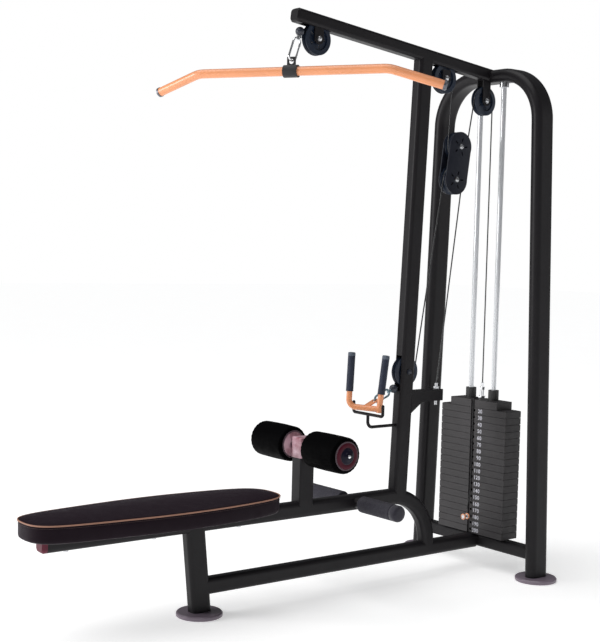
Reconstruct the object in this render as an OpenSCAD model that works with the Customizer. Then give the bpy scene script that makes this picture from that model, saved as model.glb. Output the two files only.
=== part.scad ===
// Lat pulldown and low row machine with a selectorised weight stack.
// +Z up, +Y from the bench end to the weight stack, X = 0 the centre plane.
// The origin is the middle of the front foot's floor face. Millimetres.

/* [Frame] */
// Distance from the front foot to the rear arch
arch_y = 1335; // [1300:5:1360]
// Half distance between the two rear feet
rear_foot_x = 318; // [310:1:330]
// Lean of each arch leg from the vertical, degrees
arch_splay = 1.72; // [1.5:0.01:1.9]
// Height of the arch's top tube, at its middle line
arch_z = 1947; // [1940:1:1955]
// Bend radius of the arch's corners, at the middle line
arch_bend = 185; // [170:5:190]
// Diameter of each foot plate
foot_d = 160; // [140:5:170]
// Thickness of each foot plate
foot_t = 15; // [12:1:18]
// Wall of every frame tube
wall = 3; // [2.5:0.5:3]
// Height of the bench beam's middle line
bench_z = 320; // [318:1:322]
// Lean of the upright, degrees back from the vertical
upright_lean = 2.35; // [2.2:0.05:2.5]
// Slope of the top beam, degrees up towards the front
beam_slope = 6.6; // [6.5:0.1:6.7]

/* [Seat and rollers] */
// Greatest width of the seat pad
pad_w = 298; // [280:2:310]
// Thickness of the seat pad
pad_t = 52; // [45:1:55]
// Diameter of the thigh rollers
roller_d = 128; // [110:2:130]
// Length of one thigh roller
roller_l = 185; // [170:5:190]
// Diameter of the foot peg grips
peg_d = 60; // [50:2:62]

/* [Weight stack] */
// Width of a weight plate
plate_w = 354; // [320:5:370]
// Depth of a weight plate, front to back
plate_d = 86; // [80:1:90]
// Thickness of a weight plate
plate_t = 26.4; // [25:0.1:26.4]
// Half distance between the guide rods
rod_x = 62; // [58:1:70]
// Radius of the guide rods
rod_r = 10; // [9:0.5:10]

/* [Cables] */
// Radius of the coated steel cable
cable_r = 3; // [2.5:0.1:3]
// Flange radius of every pulley
pulley_r = 57; // [55:0.5:57]
// Radius at which the cable's middle runs in a pulley
run_r = 50; // [49.5:0.1:50]

/* [Hidden] */
$fn = 48;
e = 0.01;
// Hair gap that keeps the straight runs and the arcs of a cable apart
lap = 0.02;

frame_col = [0.13, 0.13, 0.14];
chrome_col = [0.82, 0.84, 0.87];
orange_col = [0.93, 0.62, 0.42];
pulley_col = [0.13, 0.16, 0.22];
plate_col = [0.25, 0.25, 0.26];

// Middle lines and key points, measured back from the arch plane (y = 0 there)
base_z = 100;
base_h = 58;
bench_h = 58;
tube_w = 50;
cross_h = 48;
arch_depth = 94;
top_z0 = arch_z + 1;
stack_z = 131;
pitch = plate_t + 0.3;
plate_y = -5;
n_plates = 19;
n_rest = 2;
head_z = stack_z + n_plates * pitch;
head_t = 30;
up_y = -409;
up_z = 1200;
axle_y = -904;
axle_z = 546;
peg_y = -665;
// Pulley middles as [y, z]
p_front = [-893, 1990];
p_rear = [-270, 1916];
p_stack = [-run_r, 1850];
p_row = [-425.5, 797];
p_up = [-185, 1662];
p_low = [-203, 1534];
p_anchor = [-256, 736];
ball_r = 16;
lat_ball_c = [-966, 2008];
row_ball_c = [-480, 733];
lat_eye = [-1001, 1904.4];
bar_c = [-1000, 1867];
bar_turn = 30;
grip_c = [0, -624, 669];
grip_turn = 38;
grip_tilt = -5;
grip_splay = 2;
leg_r = 10.8;
knob_rings = [-62, -84];
grip_half = 59;

// ---- shared shapes -------------------------------------------------------

// Rounded rectangle, w along x and h along y
module rr(w, h, r) {
  square([w, h - 2 * r], center = true);
  square([w - 2 * r, h], center = true);
  for (sx = [-1, 1])
    for (sy = [-1, 1])
      translate([sx * (w / 2 - r), sy * (h / 2 - r)]) circle(r);
}

module tube_section(w, h, r) {
  difference() {
    rr(w, h, r);
    rr(w - 2 * wall, h - 2 * wall, r - wall);
  }
}

// Tube along +Y from y0 to y1, w wide and h high, middle line at height z
module tube_y(w, h, r, y0, y1, z) {
  translate([0, y1, z]) rotate([90, 0, 0]) linear_extrude(y1 - y0) tube_section(w, h, r);
}

module bar_y(w, h, r, y0, y1, z) {
  translate([0, y1, z]) rotate([90, 0, 0]) linear_extrude(y1 - y0) rr(w, h, r);
}

// Cylinder along X
module cyl_x(x0, x1, r, y, z) {
  translate([x0, y, z]) rotate([0, 90, 0]) cylinder(h = x1 - x0, r = r);
}

module cyl_y(y0, y1, r, x, z) {
  translate([x, y1, z]) rotate([90, 0, 0]) cylinder(h = y1 - y0, r = r);
}

// Cylinder between two points of the centre plane, given as [y, z]
module run_yz(a, b, r) {
  d = b - a;
  translate([0, a[0], a[1]]) rotate([-atan2(d[0], d[1]), 0, 0])
    translate([0, 0, lap]) cylinder(h = norm(d) - 2 * lap, r = r, $fn = 16);
}

// Arc of round bar about a point of the centre plane, from angle a0 to a1 (0 = +Y, 90 = up)
module arc_yz(c, rad, a0, a1, r) {
  translate([0, c[0], c[1]]) rotate([90, 0, 90]) rotate([0, 0, a0])
    rotate_extrude(angle = a1 - a0, $fn = 96) translate([rad, 0]) circle(r, $fn = 16);
}

// Rod between two points in space
module rod(a, b, r) {
  d = b - a;
  translate(a) rotate([0, acos(d[2] / norm(d)), atan2(d[1], d[0])]) cylinder(h = norm(d), r = r);
}

// Unit normal of the crossing tangent between two pulleys of equal running radius
function cross_n(c1, c2, s) =
  let (d = c2 - c1, l = norm(d), u = d / l, v = [-u[1], u[0]], c = 2 * run_r / l)
  c * u + s * sqrt(1 - c * c) * v;
// Point where a straight run from p meets the pulley at c, on side s
function touch(p, c, s) =
  let (d = p - c, l = norm(d), a = atan2(d[1], d[0]) + s * acos(run_r / l))
  c + run_r * [cos(a), sin(a)];
function ang(c, p) = atan2(p[1] - c[1], p[0] - c[0]);

lat_out = touch(lat_ball_c, p_front, -1);
par_d = (p_rear - p_front) / norm(p_rear - p_front);
par_n = [-par_d[1], par_d[0]];
f_top = p_front + run_r * par_n;
r_top = p_rear + run_r * par_n;
n_ru = cross_n(p_rear, p_up, 1);
r_out = p_rear + run_r * n_ru;
u_in = p_up - run_r * n_ru;
n_us = cross_n(p_up, p_stack, -1);
u_out = p_up + run_r * n_us;
s_in = p_stack - run_r * n_us;
s_out = p_stack + [run_r, 0];
row_out = touch(row_ball_c, p_row, 1);
n_rl = cross_n(p_row, p_low, -1);
w_out = p_row + run_r * n_rl;
l_in = p_low - run_r * n_rl;
l_out = touch(p_anchor, p_low, 1);
fit_top = head_z + head_t + 66;

function beam_z(y) = top_z0 - y * tan(beam_slope);
function upright_at(z) = up_y + (z - up_z) * tan(upright_lean);

module place() {
  translate([0, arch_y, 0]) children();
}

// ---- welded frame --------------------------------------------------------

// The corners are a hair fuller than the straight tubes, which run 1 mm into them
module arch_outer(w, d, r) {
  a = arch_splay;
  zc = arch_z - arch_bend;
  ze = zc + arch_bend * sin(a);
  xt = rear_foot_x - (ze - 0) * tan(a) - arch_bend * cos(a);
  len = (ze - foot_t) / cos(a);
  translate([-xt - 1, 0, arch_z]) rotate([90, 0, 90]) linear_extrude(2 * xt + 2) rr(d, w, r);
  for (s = [0, 1]) mirror([s, 0, 0]) {
    translate([xt, 0, zc]) rotate([90, -a, 0])
      rotate_extrude(angle = 90 - a, $fn = 96) translate([arch_bend, 0]) rr(w + 0.3, d + 0.3, r);
    translate([xt + arch_bend * cos(a), 0, ze]) rotate([0, 180 - a, 0])
      translate([0, 0, -1]) linear_extrude(len + 1) rr(w, d, r);
  }
}

module rear_arch() {
  color(frame_col) difference() {
    arch_outer(tube_w, arch_depth, 24);
    arch_outer(tube_w - 2 * wall, arch_depth - 2 * wall, 24 - wall);
    translate([-600, -100, -50]) cube([1200, 200, 50 + foot_t]);
  }
}

module cross_tube() {
  color(frame_col) difference() {
    translate([-320, 0, base_z]) rotate([90, 0, 90]) linear_extrude(640)
      tube_section(tube_w, cross_h, 10);
    arch_outer(tube_w, arch_depth, 24);
  }
}

module base_beam() {
  color(frame_col) difference() {
    tube_y(tube_w, base_h, 16, -1340, -tube_w / 2, base_z);
    bench_leg_outer(0);
  }
}

module bench_leg_outer(g) {
  translate([0, -arch_y, foot_t]) rotate([6.1, 0, 0]) translate([0, 0, -20])
    linear_extrude(330) rr(tube_w - 2 * g, 74 - 2 * g, 16 - g);
}

module bench_leg() {
  color(frame_col) difference() {
    bench_leg_outer(0);
    bench_leg_outer(wall);
    translate([-60, -1500, -60]) cube([120, 260, 60 + foot_t]);
    bar_y(tube_w + 0.4, bench_h + 0.4, 16, -1500, -1200, bench_z);
    translate([-60, -1500, bench_z]) cube([120, 300, 100]);
  }
}

// The bench beam runs level, then sweeps down to the base beam behind the upright
module bench_beam_path(w, h, r) {
  bend = 190;
  translate([0, -480, bench_z]) rotate([90, 0, 0]) linear_extrude(1434) rr(w, h, r);
  translate([0, -480, bench_z - bend]) rotate([90, 0, 90])
    rotate_extrude(angle = 90, $fn = 96) translate([bend, 0]) rr(h, w, r);
  translate([0, -290, 60]) linear_extrude(bench_z - bend - 60) rr(w, h, r);
}

module bench_beam() {
  color(frame_col) difference() {
    bench_beam_path(tube_w, bench_h, 16);
    translate([0, -e, 0]) bench_beam_path(tube_w - 2 * wall, bench_h - 2 * wall, 16 - wall);
    bar_y(tube_w, base_h, 16, -700, -20, base_z);
    translate([-60, -400, 0]) cube([120, 380, base_z]);
    cyl_x(-60, 60, 14, peg_y, bench_z);
  }
}

module upright_outer(g) {
  translate([0, upright_at(300), 300]) rotate([-upright_lean, 0, 0])
    linear_extrude(1750) rr(tube_w - 2 * g, 66 - 2 * g, 14 - g);
}

module top_beam_outer(w, h, r, y0, y1) {
  translate([0, 0, top_z0]) rotate([-beam_slope, 0, 0])
    translate([0, y1, 0]) rotate([90, 0, 0]) linear_extrude(y1 - y0) rr(w, h, r);
}

module upright() {
  color(frame_col) difference() {
    upright_outer(0);
    upright_outer(wall);
    bench_beam_path(tube_w, bench_h, 16);
    translate([-60, -600, 0]) cube([120, 400, bench_z]);
    top_beam_outer(tube_w, 48, 12, -1100, 60);
    translate([-60, -600, beam_z(-380)]) cube([120, 500, 300]);
    translate([-15, p_row[0] - 80, p_row[1] - 72]) cube([30, 160, 134]);
    cyl_x(-60, 60, 6.05, p_row[0], p_row[1]);
  }
}

module top_beam() {
  color(frame_col) difference() {
    top_beam_outer(tube_w, 48, 12, -982, 0);
    top_beam_outer(tube_w - 2 * wall, 48 - 2 * wall, 12 - wall, -982 - e, 1);
    arch_outer(tube_w, arch_depth, 24);
    translate([-15, p_front[0] - 72, p_front[1] - 60]) cube([30, 128, 112]);
    translate([-15, p_rear[0] - 56, p_rear[1] - 60]) cube([30, 120, 110]);
  }
}

module tube_end_caps() {
  color(frame_col) {
    translate([0, 0, top_z0]) rotate([-beam_slope, 0, 0]) translate([0, -982, 0]) {
      rotate([90, 0, 0]) linear_extrude(10) rr(tube_w, 48, 12);
      translate([0, -10, 0]) rotate([90, 0, 0]) linear_extrude(8, scale = 0.8) rr(tube_w, 48, 12);
    }
    translate([0, -1914, bench_z]) rotate([90, 0, 0]) {
      linear_extrude(10) rr(tube_w, bench_h, 16);
      translate([0, 0, 10]) linear_extrude(8, scale = 0.8) rr(tube_w, bench_h, 16);
    }
  }
}

module feet() {
  color([0.2, 0.2, 0.21])
    for (p = [[0, -arch_y], [-rear_foot_x, 0], [rear_foot_x, 0]])
      translate([p[0], p[1], 0]) rotate_extrude($fn = 96)
        polygon([[0, 0], [foot_d / 2 - 2, 0], [foot_d / 2, 2], [foot_d / 2, foot_t - 4],
                 [foot_d / 2 - 4, foot_t], [0, foot_t]]);
}

// Arm behind the upright that holds the fixed end of the row cable
module anchor_arm() {
  color(frame_col) difference() {
    translate([-20, 0, 0]) rotate([90, 0, 90])
      linear_extrude(40) polygon([[-420, 722], [-238, 722], [-238, 678], [-345, 678], [-420, 625]]);
    upright_outer(0);
    translate([0, p_anchor[0], 600]) cylinder(h = 200, r = 6.05);
    translate([-16, -500, 500]) cube([32, 258, 216]);
  }
}

module hanger(c, len) {
  for (s = [-1, 1])
    translate([s * 15.5, 0, 0]) rotate([90, 0, 90]) translate([0, 0, -2]) linear_extrude(4) {
      translate(c) circle(20);
      translate([c[0] - 20, c[1]]) square([40, len]);
    }
}

module pulley_hangers() {
  color(frame_col) difference() {
    union() {
      hanger(p_front, 60);
      hanger(p_rear, 60);
      hanger(p_stack, 90);
    }
    top_beam_outer(tube_w, 48, 12, -1100, 60);
    arch_outer(tube_w, arch_depth, 24);
    translate([-60, -300, arch_z]) cube([120, 400, 200]);
    for (p = [p_front, p_rear, p_stack]) cyl_x(-60, 60, 6.02, p[0], p[1]);
  }
}

module axle_bolt(p, x) {
  cyl_x(-x - 4, x + 2, 6, p[0], p[1]);
  cyl_x(x, x + 3, 10, p[0], p[1]);
  translate([x + 3, p[0], p[1]]) rotate([0, 90, 0])
    rotate_extrude() polygon([[0, 0], [9, 0], [8.4, 3], [6, 5.4], [0, 6.6]]);
  translate([-x - 8, p[0], p[1]]) rotate([0, 90, 0]) cylinder(h = 8, r = 10, $fn = 6);
}

module pulley_bolts() {
  color(chrome_col) {
    axle_bolt(p_front, 17.5);
    axle_bolt(p_rear, 17.5);
    axle_bolt(p_stack, 17.5);
    axle_bolt(p_row, 25);
  }
}

// ---- weight stack --------------------------------------------------------

module guide_rods() {
  color(chrome_col) for (s = [-1, 1])
    translate([s * rod_x, 0, base_z + cross_h / 2])
      cylinder(h = arch_z - tube_w / 2 - base_z - cross_h / 2, r = rod_r);
}

module rod_collars() {
  color(chrome_col) for (s = [-1, 1])
    translate([s * rod_x, 0, arch_z - tube_w / 2 - 18]) difference() {
      cylinder(h = 18, r = 18);
      translate([0, 0, -1]) cylinder(h = 20, r = rod_r);
    }
}

module stack_bumpers() {
  color([0.08, 0.08, 0.08]) for (s = [-1, 1])
    translate([s * rod_x, 0, base_z + cross_h / 2]) difference() {
      cylinder(h = stack_z - base_z - cross_h / 2, r = 22);
      translate([0, 0, -1]) cylinder(h = 20, r = rod_r);
    }
}

module weight_plate(w, d, t) {
  difference() {
    union() {
      translate([-w / 2, plate_y - d / 2, 0]) cube([w, d, t - 1.6]);
      translate([-w / 2 + 2.5, plate_y - d / 2 + 2.5, 0]) cube([w - 5, d - 5, t]);
    }
    translate([-12, plate_y - d / 2 - 1, -1]) cube([24, 7, t + 2]);
    for (s = [-1, 1]) translate([s * rod_x, 0, -1]) cylinder(h = t + 2, r = rod_r + 1.5);
    translate([0, 0, -1]) cylinder(h = t + 2, r = 14);
    translate([0, 0, t / 2]) rotate([90, 0, 0]) cylinder(h = 80, r = 5.5);
  }
}

module resting_plates() {
  color(plate_col) for (i = [0 : n_rest - 1])
    translate([0, 0, stack_z + i * pitch]) weight_plate(plate_w, plate_d, plate_t);
}

module lifted_plates() {
  color(plate_col) for (i = [n_rest : n_plates - 1])
    translate([0, 0, stack_z + i * pitch]) weight_plate(plate_w, plate_d, plate_t);
}

module head_plate() {
  color(plate_col) translate([0, 0, head_z]) difference() {
    translate([-127, plate_y - plate_d / 2, 0]) cube([254, plate_d, head_t]);
    translate([-12, plate_y - plate_d / 2 - 1, -1]) cube([24, 7, head_t + 2]);
    for (s = [-1, 1]) translate([s * rod_x, 0, -1]) cylinder(h = head_t + 2, r = rod_r + 1.5);
    translate([0, 0, -1]) cylinder(h = head_t + 2, r = 12.5);
  }
}

module selector_stem() {
  color(chrome_col) difference() {
    translate([0, 0, stack_z + 1]) cylinder(h = head_z + head_t - stack_z - 1, r = 12.5);
    for (i = [0 : n_plates - 1])
      translate([0, 0, stack_z + (i + 0.5) * pitch]) rotate([90, 0, 0])
        cylinder(h = 60, r = 5.3, center = true);
  }
}

module stack_bushings() {
  color([0.16, 0.16, 0.17]) for (s = [-1, 1])
    translate([s * rod_x, 0, head_z + head_t]) difference() {
      cylinder(h = 42, r = 21);
      translate([0, 0, -1]) cylinder(h = 44, r = rod_r + 0.05);
    }
}

module cable_fitting() {
  color(chrome_col) translate([0, 0, head_z + head_t]) {
    cylinder(h = 12, r = 15, $fn = 6);
    translate([0, 0, 12]) cylinder(h = 26, r = 9);
    translate([0, 0, 38]) cylinder(h = 10, r = 12, $fn = 6);
    translate([0, 0, 48]) cylinder(h = 18, r = 6.5);
  }
}

pin_z = stack_z + (n_rest + 0.5) * pitch;

// Cord that ties the selector pin to the stem, down the front groove of the plates
module pin_lanyard() {
  color([0.05, 0.05, 0.05]) {
    rod([-3, -60, pin_z + 30], [-3, -44.6, pin_z + 110], 2);
    translate([-3, -44.6, pin_z + 110]) sphere(2);
    rod([-3, -44.6, pin_z + 110], [-3, -44.6, head_z + head_t + 4], 2);
    translate([-3, -44.6, head_z + head_t + 4]) sphere(2);
    rod([-3, -44.6, head_z + head_t + 4], [-3, -16, head_z + head_t + 4], 2);
  }
}

module selector_pin() {
  color(chrome_col) {
    cyl_y(-84, 10, 4.8, 0, pin_z);
    for (y = knob_rings) cyl_y(y - 1, y + 1, 9, 0, pin_z);
  }
  color(orange_col) for (y = knob_rings) translate([0, y, pin_z]) rotate([90, 0, 0])
    rotate_extrude() translate([9.5, 0]) circle(2.6);
}

// ---- pulleys and cables --------------------------------------------------

module pulley(c, hub) {
  color(pulley_col) translate([-12, c[0], c[1]]) rotate([0, 90, 0]) difference() {
    rotate_extrude($fn = 96) polygon([[6.05, 12 - hub], [14, 12 - hub], [14, 6], [38, 6], [40, 0],
      [pulley_r - 1.5, 0], [pulley_r, 1.5], [pulley_r, 3], [run_r - cable_r - 0.4, 8.4],
      [run_r - cable_r - 0.4, 15.6], [pulley_r, 21], [pulley_r, 22.5], [pulley_r - 1.5, 24],
      [40, 24], [38, 18], [14, 18], [14, 12 + hub], [6.05, 12 + hub]]);
    for (a = [0 : 72 : 288]) rotate([0, 0, a + 15]) translate([25, 0, -1]) {
      cylinder(h = 26, r = 3);
      translate([0, -3, 0]) cube([8, 6, 26]);
      translate([8, 0, 0]) cylinder(h = 26, r = 3);
    }
  }
}

module front_pulley() { pulley(p_front, 13.2); }
module rear_pulley() { pulley(p_rear, 13.2); }
module stack_pulley() { pulley(p_stack, 13.2); }
module row_pulley() { pulley(p_row, 21.6); }
module block_upper_pulley() { pulley(p_up, 15.2); }
module block_lower_pulley() { pulley(p_low, 15.2); }

module block_plates() {
  color(pulley_col) difference() {
    for (s = [-1, 1])
      translate([s * 18 - 2.5, 0, 0]) rotate([90, 0, 90]) linear_extrude(5) {
        translate(p_up) circle(57, $fn = 96);
        translate(p_low) circle(57, $fn = 96);
        translate((p_up + p_low) / 2) rotate(atan2(p_up[1] - p_low[1], p_up[0] - p_low[0]))
          square([norm(p_up - p_low), 112], center = true);
      }
    for (p = [p_up, p_low]) {
      cyl_x(-60, 60, 6.02, p[0], p[1]);
      for (a = [18 : 72 : 306]) translate([-30, p[0], p[1]]) rotate([0, 90, 0]) rotate([0, 0, a])
        translate([20, -2.5, 0]) cube([15, 5, 60]);
    }
  }
}

module block_bolts() {
  color(chrome_col) {
    axle_bolt(p_up, 20.5);
    axle_bolt(p_low, 20.5);
  }
}

module lat_cable_main() {
  color([0.1, 0.1, 0.1]) {
    arc_yz(p_front, run_r, ang(p_front, f_top), ang(p_front, lat_out), cable_r);
    run_yz(f_top, r_top, cable_r);
    arc_yz(p_rear, run_r, ang(p_rear, r_out), ang(p_rear, r_top), cable_r);
  }
}

module lat_cable_front() {
  color([0.1, 0.1, 0.1]) difference() {
    run_yz(lat_ball_c, lat_out, cable_r);
    translate([0, lat_ball_c[0], lat_ball_c[1]]) sphere(ball_r);
  }
}

module upper_block_cable() {
  color([0.1, 0.1, 0.1]) {
    run_yz(r_out, u_in, cable_r);
    arc_yz(p_up, run_r, ang(p_up, u_in), 360 + ang(p_up, u_out), cable_r);
    run_yz(u_out, s_in, cable_r);
    arc_yz(p_stack, run_r, 0, ang(p_stack, s_in), cable_r);
  }
}

module stack_cable() {
  color([0.1, 0.1, 0.1]) run_yz([0, fit_top], s_out, cable_r);
}

module lower_block_cable() {
  color([0.1, 0.1, 0.1]) {
    arc_yz(p_row, run_r, ang(p_row, row_out), ang(p_row, w_out), cable_r);
    run_yz(w_out, l_in, cable_r);
    arc_yz(p_low, run_r, ang(p_low, l_out), ang(p_low, l_in), cable_r);
    run_yz(l_out, p_anchor + [0, 12], cable_r);
  }
}

module row_cable_front() {
  color([0.1, 0.1, 0.1]) difference() {
    run_yz(row_ball_c, row_out, cable_r);
    translate([0, row_ball_c[0], row_ball_c[1]]) sphere(ball_r);
  }
}

// Threaded end of the row cable, held in the anchor arm by two nuts
module anchor_bolt() {
  color(chrome_col) translate([0, p_anchor[0], 0]) {
    translate([0, 0, 660]) cylinder(h = p_anchor[1] + 9 - 660, r = 6);
    translate([0, 0, 722]) cylinder(h = 10, r = 11, $fn = 6);
    translate([0, 0, 706]) cylinder(h = 10, r = 11, $fn = 6);
  }
}

// ---- lat bar and its carabiner -------------------------------------------

module lat_ball() {
  color([0.06, 0.06, 0.08]) translate([0, lat_ball_c[0], lat_ball_c[1]]) sphere(ball_r);
}

// Open link: two straight sides and two round ends in the plane of the cables,
// long = middle-line half length, wide = middle-line end radius, s0/s1 = the gate's part
module link(a, b, wide, r, gate) {
  d = b - a;
  l = norm(d);
  translate([0, a[0], a[1]]) rotate([-atan2(d[0], d[1]), 0, 0]) {
    if (gate) {
      translate([0, wide, wide + 10.5]) cylinder(h = l - 2 * wide - 23.5, r = r * 0.8);
      translate([-r - 0.6, wide, wide + 10.5]) rotate([0, 90, 0]) cylinder(h = 2 * r + 1.2, r = 2);
    }
    else {
      translate([0, -wide, wide]) cylinder(h = l - 2 * wide, r = r);
      translate([0, wide, wide]) cylinder(h = 8, r = r);
      translate([0, wide, l - wide - 12]) cylinder(h = 12, r = r);
      translate([0, 0, wide]) rotate([90, 0, 90]) rotate([0, 0, 180])
        rotate_extrude(angle = 180) translate([wide, 0]) circle(r);
      translate([0, 0, l - wide]) rotate([90, 0, 90])
        rotate_extrude(angle = 180) translate([wide, 0]) circle(r);
    }
  }
}

lat_dir = (lat_ball_c - lat_eye) / norm(lat_ball_c - lat_eye);
lat_top = lat_ball_c - lat_dir * 26;

module lat_carabiner() {
  color(chrome_col) {
    link(lat_eye, lat_top, 15, 3.6, false);
    difference() {
      union() {
        run_yz(lat_top - lat_dir * 6, lat_ball_c, 6);
        translate([0, lat_ball_c[0], lat_ball_c[1] - ball_r - 9]) cylinder(h = 14, r = 8);
      }
      translate([0, lat_ball_c[0], lat_ball_c[1]]) sphere(ball_r + 0.4);
    }
  }
}

module lat_gate() {
  color(chrome_col) link(lat_eye, lat_top, 15, 3.6, true);
}

bar_half = 340;
bar_bend = 100;
bar_drop = 22;

// Puts children at the outer end of a bar arm, with +Z along the arm
module at_arm() {
  translate([bar_half + bar_bend * sin(bar_drop), 0, -bar_bend + bar_bend * cos(bar_drop)])
    rotate([0, 90 + bar_drop, 0]) children();
}

// The bar hangs in its collar with its ends down and a little back
module at_bar() {
  translate([0, bar_c[0], bar_c[1]]) rotate([0, 0, bar_turn]) rotate([42, 0, 0]) children();
}

module lat_bar() {
  color(orange_col) at_bar() {
    translate([-bar_half, 0, 0]) rotate([0, 90, 0]) cylinder(h = 2 * bar_half, r = 16);
    for (s = [0, 1]) mirror([s, 0, 0]) {
      translate([bar_half, 0, -bar_bend]) rotate([90, 0, 0]) rotate([0, 0, 90 - bar_drop])
        rotate_extrude(angle = bar_drop, $fn = 96) translate([bar_bend, 0]) circle(16);
      at_arm() cylinder(h = 172, r = 16);
    }
  }
}

module bar_end_caps() {
  color([0.45, 0.47, 0.5]) at_bar() for (s = [0, 1]) mirror([s, 0, 0]) at_arm()
    translate([0, 0, 172]) {
      cylinder(h = 8, r = 17.5);
      translate([0, 0, 8]) cylinder(h = 4, r1 = 17.5, r2 = 13);
    }
}

module bar_collar() {
  color([0.1, 0.1, 0.1]) translate([0, bar_c[0], bar_c[1]]) rotate([0, 0, bar_turn]) {
    difference() {
      translate([-26, 0, 0]) rotate([0, 90, 0]) cylinder(h = 52, r = 22);
      translate([-30, 0, 0]) rotate([0, 90, 0]) cylinder(h = 60, r = 16);
    }
    difference() {
      translate([-16, -2, 18]) cube([32, 4, 32]);
      translate([-30, 0, 0]) rotate([0, 90, 0]) cylinder(h = 60, r = 20);
      translate([0, 0, 34]) rotate([90, 0, 0]) cylinder(h = 30, r = 9, center = true);
    }
  }
}

// ---- row handle and its hook ---------------------------------------------

module row_ball() {
  color([0.06, 0.06, 0.08]) translate([0, row_ball_c[0], row_ball_c[1]]) sphere(ball_r);
}

eye_dir = (row_ball_c - [grip_c[1], grip_c[2]]) / norm(row_ball_c - [grip_c[1], grip_c[2]]);
hook_end = [grip_c[1], grip_c[2]] + eye_dir * 59.4;
hook_top = row_ball_c - eye_dir * 24;

module row_hook() {
  color([0.45, 0.55, 0.6]) {
    link(hook_end, hook_top, 13, 4, false);
    difference() {
      run_yz(hook_top - eye_dir * 6, row_ball_c, 6);
      translate([0, row_ball_c[0], row_ball_c[1]]) sphere(ball_r);
    }
  }
}

module row_gate() {
  color([0.45, 0.55, 0.6]) link(hook_end, hook_top, 13, 4, true);
}

module at_grip() {
  translate(grip_c) rotate([grip_tilt, 0, 0]) rotate([0, 0, grip_turn]) children();
}

// Along one upright leg of the row handle, from where its bend ends
module at_leg(s) {
  at_grip() translate([s * grip_half, 0, 27]) rotate([0, s * grip_splay, 0]) children();
}

// Two upright legs joined by a crossbar, with a flat eye at its middle
module row_handle() {
  color(orange_col) {
    at_grip() {
      translate([-grip_half + 28, 0, 28]) rotate([90, 0, 0]) rotate([0, 0, 180 + grip_splay])
        rotate_extrude(angle = 90 - grip_splay, $fn = 64) translate([28, 0]) circle(11);
      translate([-grip_half + 28, 0, 0]) rotate([0, 90, 0]) cylinder(h = 2 * grip_half - 31, r = 10.9);
    }
    at_leg(-1) translate([0, 0, -2]) cylinder(h = 171, r = leg_r);
    at_leg(1) translate([0, 0, -40]) cylinder(h = 209, r = leg_r);
    difference() {
      translate(grip_c) rotate([atan2(eye_dir[1], eye_dir[0]), 0, 0]) {
        translate([-14, 6, -2.5]) cube([28, 50, 5]);
        translate([0, 56, -2.5]) cylinder(h = 5, r = 14);
      }
      at_grip() rotate([0, 90, 0]) cylinder(h = 60, r = 10, center = true);
      translate(grip_c) rotate([atan2(eye_dir[1], eye_dir[0]), 0, 0])
        translate([0, 56, -20]) cylinder(h = 40, r = 9);
    }
  }
}

module row_grips() {
  color([0.16, 0.16, 0.2]) for (s = [-1, 1])
    at_leg(s) translate([0, 0, 29]) difference() {
      rotate_extrude() polygon([[10, 0], [13.5, 0], [14, 2], [14, 138], [12, 144], [10, 144]]);
      translate([0, 0, -1]) cylinder(h = 146, r = leg_r);
    }
  color([0.6, 0.62, 0.66]) for (s = [-1, 1])
    at_leg(s) translate([0, 0, 169]) rotate_extrude() polygon([[0, 0], [10, 0], [10, 4], [0, 6]]);
}

// Bent rod on the front of the upright that the row handle rests in
module handle_rack() {
  y0 = upright_at(594);
  color(frame_col) difference() {
    union() {
      cyl_y(-582, y0, 5.85, 0, 594);
      arc_yz([-581, 616], 22, 180, 270, 6);
      translate([0, -603, 615]) cylinder(h = 28.5, r = 5.85);
      cyl_x(-74, 74, 5.85, -603, 643.5);
      for (s = [0, 1]) mirror([s, 0, 0]) translate([73, -603, 653.5]) {
        rotate([90, 0, 0]) rotate([0, 0, -90]) rotate_extrude(angle = 90, $fn = 64)
          translate([10, 0]) circle(6);
        translate([10, 0, -1]) cylinder(h = 29, r = 5.85);
        translate([10, 0, 28]) sphere(5.85);
      }
    }
    upright_outer(0);
  }
}

// ---- seat, rollers and foot pegs -----------------------------------------

pad_front = -1990;
pad_rear = -1036;
pad_skirt = 15;
pad_z = bench_z + bench_h / 2;

// Half width of the pad along its length: full at two thirds, drawn in at both round ends
function pad_half(t) =
  pad_w / 2 * pow(max(0, 1 - pow(abs(2 * t - 1), 8)), 0.42)
    * (0.72 + 0.28 * pow(sin(180 * pow(t, 1.15)), 1.2));
function pad_points(inset) = concat(
  [for (i = [0 : 40]) let (t = (1 - cos(i * 4.5)) / 2)
    [pad_half(t) * (1 - 2 * inset / pad_w), pad_front + inset + t * (pad_rear - pad_front - 2 * inset)]],
  [for (i = [39 : -1 : 1]) let (t = (1 - cos(i * 4.5)) / 2)
    [-pad_half(t) * (1 - 2 * inset / pad_w), pad_front + inset + t * (pad_rear - pad_front - 2 * inset)]]);

module seat_board() {
  color([0.1, 0.08, 0.07]) translate([0, 0, pad_z]) linear_extrude(10) polygon(pad_points(12));
}

module seat_pad() {
  color([0.12, 0.1, 0.12]) difference() {
    union() {
      translate([0, 0, pad_z + 1 - pad_skirt]) linear_extrude(pad_t - 7 + pad_skirt)
        polygon(pad_points(0));
      translate([0, 0, pad_z + pad_t - 6]) linear_extrude(6) polygon(pad_points(5));
    }
    translate([0, 0, pad_z - pad_skirt]) linear_extrude(10.2 + pad_skirt) polygon(pad_points(11.5));
    bar_y(tube_w + 2, bench_h + 4, 16, -2000, -1000, bench_z);
  }
}

module seat_bolts() {
  color(chrome_col) for (y = [-1840, -1520, -1180]) {
    translate([0, y, bench_z - bench_h / 2 - 5.2]) cylinder(h = 5, r = 8);
  }
}

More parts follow.
